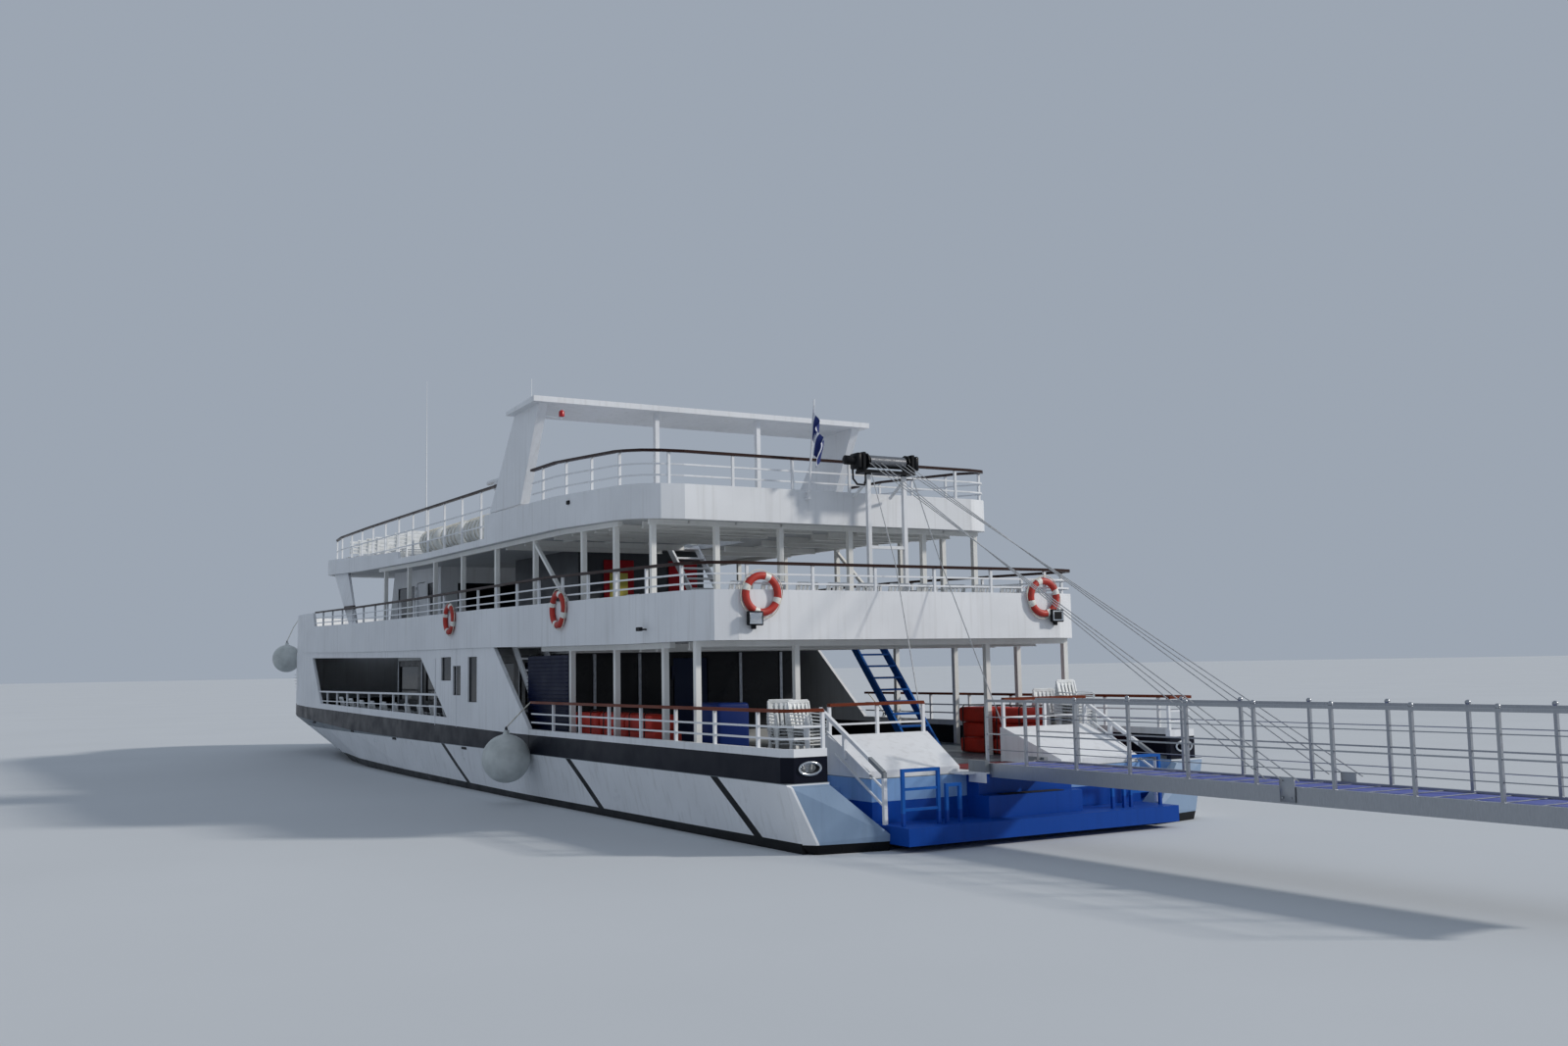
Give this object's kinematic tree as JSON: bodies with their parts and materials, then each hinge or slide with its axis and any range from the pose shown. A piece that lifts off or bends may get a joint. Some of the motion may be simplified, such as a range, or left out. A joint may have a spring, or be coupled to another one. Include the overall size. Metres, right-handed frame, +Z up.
{
  "type": "excursion boat, 1:2 scale model",
  "caption": "Three-deck excursion boat, half-size model, with open decks, arch, wheelhouse, twin screws and rudders, and a hinged stern gangway.",
  "frame": {"origin": "on the centreline at the waterline, near amidships", "axes": "+X to the bow, +Y to port, +Z up"},
  "size_m": [24.81, 5.2566, 6.5358],
  "materials": {
    "hull_paint": "satin",
    "superstructure_white": "gloss",
    "coaming_white": "satin",
    "navy_paint": "gloss",
    "bottom_paint": "matt",
    "platform_blue": "satin",
    "stair_blue": "satin",
    "deck_grey": "matt",
    "saloon_panel": "satin",
    "console_grey": "satin",
    "winch_black": "satin",
    "gangway_metal": "brushed",
    "bronze": "polished",
    "raft_white": "gloss",
    "buoy_orange": "satin",
    "fender_vinyl": "satin"
  },
  "bodies": {
    "boat": {"hull": "hull_paint", "shaft_bracket_port": "bronze", "shaft_bracket_stbd": "bronze", "quarter_wing_port": "superstructure_white", "quarter_wing_stbd": "superstructure_white", "swim_platform": "platform_blue", "bulwark_port": "navy_paint", "bulwark_stbd": "navy_paint", "transom": "coaming_white", "house_side_port": "superstructure_white", "house_side_stbd": "superstructure_white", "bow_wall": "superstructure_white", "saloon": "saloon_panel", "main_pillars_port": "superstructure_white", "main_pillars_stbd": "superstructure_white", "aft_pillars": "superstructure_white", "upper_deck": "deck_grey", "upper_pillars_port": "superstructure_white", "upper_pillars_stbd": "superstructure_white", "upper_aft_pillars": "superstructure_white", "upper_band": "superstructure_white", "wheelhouse": "superstructure_white", "helm_console": "console_grey", "bar_house": "superstructure_white", "sun_deck": "deck_grey", "sun_fascia": "superstructure_white", "sun_rail_port": "superstructure_white", "sun_rail_stbd": "superstructure_white", "arch": "superstructure_white", "winch_frame": "winch_black", "flagstaff": "superstructure_white", "main_stair_port": "superstructure_white", "main_stair_stbd": "stair_blue", "sun_stair": "superstructure_white", "liferafts_port": "raft_white", "liferafts_stbd": "raft_white", "lifebuoy_side_aft_port": "buoy_orange", "lifebuoy_side_fwd_port": "buoy_orange", "lifebuoy_side_aft_stbd": "buoy_orange", "lifebuoy_side_fwd_stbd": "buoy_orange", "lifebuoy_aft_port": "buoy_orange", "lifebuoy_aft_stbd": "buoy_orange", "fender_mid_port": "fender_vinyl", "fender_mid_stbd": "fender_vinyl", "fender_bow_port": "fender_vinyl", "fender_bow_stbd": "fender_vinyl", "whip_aerial": "raft_white"},
    "propeller_port_body": {"propeller_port": "bronze"},
    "propeller_stbd_body": {"propeller_stbd": "bronze"},
    "rudder_port_body": {"rudder_port": "bottom_paint"},
    "rudder_stbd_body": {"rudder_stbd": "bottom_paint"},
    "gangway_body": {"gangway": "gangway_metal"},
    "winch_drum_body": {"winch_drum": "winch_black"},
    "wheelhouse_door_port_body": {"wheelhouse_door_port": "superstructure_white"},
    "wheelhouse_door_stbd_body": {"wheelhouse_door_stbd": "superstructure_white"},
    "saloon_door_body": {"saloon_door": "navy_paint"}
  },
  "joints": [
    {"name": "propeller_port_spin", "type": "hinge", "parent": "boat", "child": "propeller_port_body", "pos_m": [-7.45, 0.95, -0.69], "axis": [1, 0, 0], "continuous": true},
    {"name": "propeller_stbd_spin", "type": "hinge", "parent": "boat", "child": "propeller_stbd_body", "pos_m": [-7.45, -0.95, -0.69], "axis": [1, 0, 0], "continuous": true},
    {"name": "rudder_port_turn", "type": "hinge", "parent": "boat", "child": "rudder_port_body", "pos_m": [-7.95, 0.95, -0.6], "axis": [0, 0, 1], "range_deg": [-35, 35]},
    {"name": "rudder_stbd_turn", "type": "hinge", "parent": "boat", "child": "rudder_stbd_body", "pos_m": [-7.95, -0.95, -0.6], "axis": [0, 0, 1], "range_deg": [-35, 35]},
    {"name": "gangway_hoist", "type": "hinge", "parent": "boat", "child": "gangway_body", "pos_m": [-8.96, 0.175, 0.575], "axis": [0, 1, 0], "range_deg": [-6, 62]},
    {"name": "winch_drum_turn", "type": "hinge", "parent": "boat", "child": "winch_drum_body", "pos_m": [-6.5, -0.38, 3.33], "axis": [0, 1, 0], "continuous": true},
    {"name": "wheelhouse_door_port_swing", "type": "hinge", "parent": "boat", "child": "wheelhouse_door_port_body", "pos_m": [3.39, 1.3629, 2.25], "axis": [0, 0, 1], "range_deg": [-105, 0]},
    {"name": "wheelhouse_door_stbd_swing", "type": "hinge", "parent": "boat", "child": "wheelhouse_door_stbd_body", "pos_m": [3.39, -1.3629, 2.25], "axis": [0, 0, 1], "range_deg": [0, 105]},
    {"name": "saloon_door_swing", "type": "hinge", "parent": "boat", "child": "saloon_door_body", "pos_m": [-3.0129, 0.24, 1], "axis": [0, 0, 1], "range_deg": [-100, 0]}
  ],
  "couplings": [
    {"joint": "rudder_stbd_turn", "follows": "rudder_port_turn", "ratio": 1}
  ]
}
